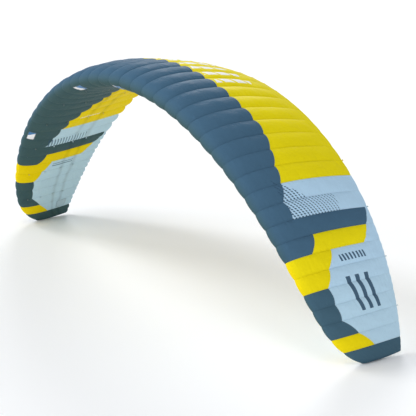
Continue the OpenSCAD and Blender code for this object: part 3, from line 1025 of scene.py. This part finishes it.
def make_flap(body, cell, kind, blue=0.0, straight=False):
    """A flap that lies against the sail over an opening, puffed like the cell round it.

    A straight flap doesn't follow the sweep of the wing, so that its front edge lies along its hinge.
    """
    v_pair, laps, off, width_share, material, slot = kind
    rows, cols = FLAP_ROWS, FLAP_COLUMNS
    t, u = np.meshgrid(np.linspace(0, 1, rows), np.linspace(-1, 1, cols), indexing="ij")
    corner = 1 - FLAP_CORNER * (np.abs(t - 0.5) * 2) ** 8
    r = cell + 0.5 + u * corner * width_share / 2
    v = v_pair[1] + laps[0] + t * (v_pair[0] - laps[1] - v_pair[1] - laps[0])
    off = off + FLAP_RIPPLE * np.sin(9 * u + 2 * t) * np.sin(np.pi * t)
    cells = np.full(r.shape, float(cell))
    points = sail_point(r, v, cells, off)
    if straight:
        per_step = sail_point(r, v + PROBE, cells, off)[0, :, 1] - points[0, :, 1]
        v = v + PROBE * (points[0, cols // 2, 1] - points[0, :, 1]) / per_step
        points = sail_point(r, v, cells, off)
    flap = new_piece(body + "_cloth", points, grid_faces(rows, cols), material)
    if blue:
        mark = u * math.copysign(1, blue) - 1 + 2 * abs(blue) - BLUE_SLANT * (2 * t - 1)
    else:
        mark = np.maximum(np.abs(u), np.abs(2 * t - 1)) - FLAP_HEM
    add_data(flap.data, "mark", "FLOAT", "POINT", mark.ravel())
    thicken(flap, FLAP_THICK)
    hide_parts(body)
    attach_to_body(flap, body)


def make_openings():
    """Flaps of the inlets and of the sand openings, and the tape round them."""
    for cell, (body, tag, blue) in VALVE_NAMES.items():
        make_flap(body, cell, VALVE, blue=blue)
        attach(binding(body + "_binding", cell, window_of(cell), BINDING), tag)
    for cell, side in zip(SAND_CELLS, ("right", "left")):
        body = "sand_flap_" + side
        make_flap(body, cell, SAND, straight=True)
        edge = binding(body + "_binding", cell, window_of(cell), PALE_BINDING, SAND_BINDING)
        attach(edge, "tip_" + side)


TIP_BULGE = 0.016
TIP_BULGE_DEPTH = 0.06  # the bulge is full where the panel is at least this deep
TIP_ROWS = 17
TIP_NOSE_END = 0.34
TIP_END = 0.999


def make_tip(side):
    """End panel of a wing tip, crowned by the air inside."""
    sign = 1 if side == "right" else -1
    rear = np.sqrt(np.linspace(TIP_NOSE_END**2, TIP_END, 60))
    v = np.concatenate([np.linspace(0, TIP_NOSE_END, 30), rear[1:]])
    t, grid_v = np.meshgrid(np.linspace(0, 1, TIP_ROWS), v)
    top = outer(1.0, v)
    low = outer(1.0, -v)
    aft = top[0][:, None] + 0 * t
    out = top[1][:, None] * (1 - t) + low[1][:, None] * t
    depth = (top[1] - low[1])[:, None]
    crown = TIP_BULGE * np.minimum(1, depth / TIP_BULGE_DEPTH) * (4 * t * (1 - t)) ** 0.7
    outward = np.array(rib_axis(float(sign))) * sign
    points = put(np.full(t.shape, float(sign)), aft, out)
    points = points + (crown + TIP_PANEL * 0.3)[..., None] * outward
    faces = grid_faces(len(v), TIP_ROWS)
    if sign < 0:
        faces = faces[:, ::-1]
    piece = new_piece("tip_end_cloth_" + side, points, faces, SAIL)
    cell = np.full(len(faces), float(TIP_RIB - 1 if sign > 0 else -1 - TIP_RIB))
    r = np.full(faces.shape, float(TIP_RIB if sign > 0 else -1 - TIP_RIB)) - sign * 0.4
    paint_cells(piece.data, r, grid_v.ravel()[faces], cell, np.zeros(len(faces), bool))
    stand_in(piece, "tip_panel_" + side, "tip_" + side)


# ---- Zip ----

ZIP_PLACE = 0.86
ZIP_LENGTH = 0.180
TAPE_ZIP_WIDTH = 0.026
TAPE_CLEAR = 0.002
ZIP_TAPE = 0.0015
TAPE_RIPPLE = 0.0003
TEETH_END = 0.004
TOOTH_PITCH = 0.0024
TOOTH_RADII = (0.00105, 0.0017)
TOOTH_DEPTH = 0.0018
TOOTH_SHIFT = 0.0009
TOOTH_PROFILE = ((-0.0019, 0.5), (-0.0008, 1.0), (0.0008, 1.0), (0.0019, 0.5))  # place and size


def zip_frame():
    """Matrix of the zip under the centre cell: X along it, Y down the slope of the skin, Z up."""
    p = wing_point(0.0, -math.sqrt(ZIP_PLACE))
    q = wing_point(0.0, -math.sqrt(ZIP_PLACE + PROBE))
    slope = (Vector(q) - Vector(p)).normalized()
    across = Vector((1, 0, 0))
    turned = Matrix((across, slope, across.cross(slope))).transposed().to_4x4()
    return Matrix.Translation(Vector(p)) @ turned


def make_zip_tape(place):
    """Cloth tape of the zip."""
    rows, cols = 9, 61
    t, u = np.meshgrid(np.linspace(-1, 1, rows), np.linspace(-1, 1, cols), indexing="ij")
    z = -TAPE_CLEAR - ZIP_TAPE / 2 + TAPE_RIPPLE * np.sin(40 * u) * np.abs(t)
    flat = np.stack([u * ZIP_LENGTH / 2, t * TAPE_ZIP_WIDTH / 2, z], -1).reshape(-1, 3)
    points = [place @ Vector(p) for p in flat]
    tape = new_piece("zip_tape_cloth", points, grid_faces(rows, cols), ZIP_CLOTH)
    thicken(tape, FLAP_THICK)
    stand_in(tape, "zip_tape", "centre")


def make_zip_teeth(place):
    """Interlocked teeth, in turn from either side of the zip."""
    count = int((ZIP_LENGTH - 2 * TEETH_END) / TOOTH_PITCH)
    ring = [(math.cos(a), math.sin(a)) for a in np.radians(np.arange(0, 360, 45))]
    depth = -TAPE_CLEAR - ZIP_TAPE - TOOTH_DEPTH
    points, faces = [], []
    for k in range(count):
        x = (k - (count - 1) / 2) * TOOTH_PITCH
        shift = TOOTH_SHIFT if k % 2 else -TOOTH_SHIFT
        start = len(points)
        for y, size in TOOTH_PROFILE:
            for c, d in ring:
                across = x + c * TOOTH_RADII[0] * size
                points.append(place @ Vector((across, y + shift, depth + d * TOOTH_RADII[1] * size)))
        faces += grid_faces(len(TOOTH_PROFILE), len(ring), start, closed=True).tolist()
        faces.append(list(range(start + 7, start - 1, -1)))
        faces.append(list(range(start + 24, start + 32)))
    teeth = new_piece("zip_teeth_row", points, faces, ZIP_PLASTIC)
    stand_in(teeth, "zip_coil", "centre")


def make_zip():
    """Deflation zip; its slider keeps the CAD shape."""
    place = zip_frame()
    make_zip_tape(place)
    make_zip_teeth(place)
    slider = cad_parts["zip_slider"]
    slider.data.materials.clear()
    slider.data.materials.append(ZIP_METAL)


# ---- Studio ----

CAMERA_TURN = math.radians(53.93)
CAMERA_RISE = math.radians(15.0)
CAMERA_ROLL = math.radians(-0.61)
CAMERA_DISTANCE = 14.32
CAMERA_LOOK = Vector((0.0, 0.0705, 0.932))
CAMERA_SHIFT = (0.364, -0.061)
CAMERA_LENS = 103.3
CAMERA_SENSOR = 36
CAMERA_REACH = 500

FLOOR_HALF = 150
FLOOR_HEIGHT = -0.004
FLOOR_COLOUR = (0.97, 0.97, 0.975)
SKY_LIGHT = (0.95, 0.97, 1.0, 1)
SKY_STRENGTH = 0.46

# Lamps: name, direction toward the lamp, strength, angle that it fills in degrees, and colour
LAMPS = (
    ("key", (-0.62, -0.42, 0.66), 0.95, 20, (0.97, 0.99, 1.0)),
    ("rim", (-0.70, 0.55, 0.45), 1.1, 20, (0.97, 0.98, 1.0)),
    ("left", (-0.90, -0.42, 0.10), 0.5, 40, (0.97, 0.98, 1.0)),
    ("high", (0.52, -0.25, 0.82), 0.48, 20, (0.95, 0.98, 1.0)),
    ("front", (-0.35, -0.90, 0.25), 1.25, 50, (0.97, 0.99, 1.0)),
    ("side", (0.93, -0.35, 0.02), 1.0, 50, (1.0, 0.97, 0.92)),
)


def make_camera():
    """Camera in front of the wing, to its right and a little above."""
    back = Vector((
        math.sin(CAMERA_TURN) * math.cos(CAMERA_RISE),
        -math.cos(CAMERA_TURN) * math.cos(CAMERA_RISE),
        math.sin(CAMERA_RISE),
    ))
    level = Vector((math.cos(CAMERA_TURN), math.sin(CAMERA_TURN), 0))
    rise = back.cross(level)
    right = level * math.cos(CAMERA_ROLL) + rise * math.sin(CAMERA_ROLL)
    up = rise * math.cos(CAMERA_ROLL) - level * math.sin(CAMERA_ROLL)
    data = bpy.data.cameras.new("camera")
    data.lens = CAMERA_LENS
    data.sensor_width = CAMERA_SENSOR
    data.clip_end = CAMERA_REACH
    camera = add_object("camera", data)
    turned = Matrix((right, up, back)).transposed()
    place = CAMERA_LOOK + back * CAMERA_DISTANCE + right * CAMERA_SHIFT[0] + up * CAMERA_SHIFT[1]
    camera.matrix_world = Matrix.Translation(place) @ turned.to_4x4()
    scene.camera = camera


def make_studio():
    """Pale floor, even pale surround and broad soft lamps."""
    paint = Paint("studio_floor", roughness=0.9)
    grain = paint.noise(0.6, 2.0) - 0.5
    paint.finish(paint.shaded(FLOOR_COLOUR, grain * 0.01))
    quarters = ((-1, -1), (1, -1), (1, 1), (-1, 1))
    corners = [(x * FLOOR_HALF, y * FLOOR_HALF, FLOOR_HEIGHT) for x, y in quarters]
    floor = new_piece("studio_floor", corners, [[0, 1, 2, 3]], paint.material)
    world = bpy.data.worlds.new("studio")
    world.use_nodes = True
    sky = world.node_tree.nodes["Background"]
    sky.inputs["Color"].default_value = SKY_LIGHT
    sky.inputs["Strength"].default_value = SKY_STRENGTH
    scene.world = world
    for name, toward, strength, angle, tint in LAMPS:
        light = bpy.data.lights.new(name, "SUN")
        light.energy = strength
        light.angle = math.radians(angle)
        light.color = tint
        add_object(name, light).rotation_euler = Vector(toward).to_track_quat("Z", "Y").to_euler()
    scene.view_settings.view_transform = "Standard"


make_camera()
for section in SECTIONS:
    make_sails(section)
    make_trailing(section)
    make_inside(section)
    make_loops(section)
make_openings()
make_tip("right")
make_tip("left")
make_zip()
make_studio()
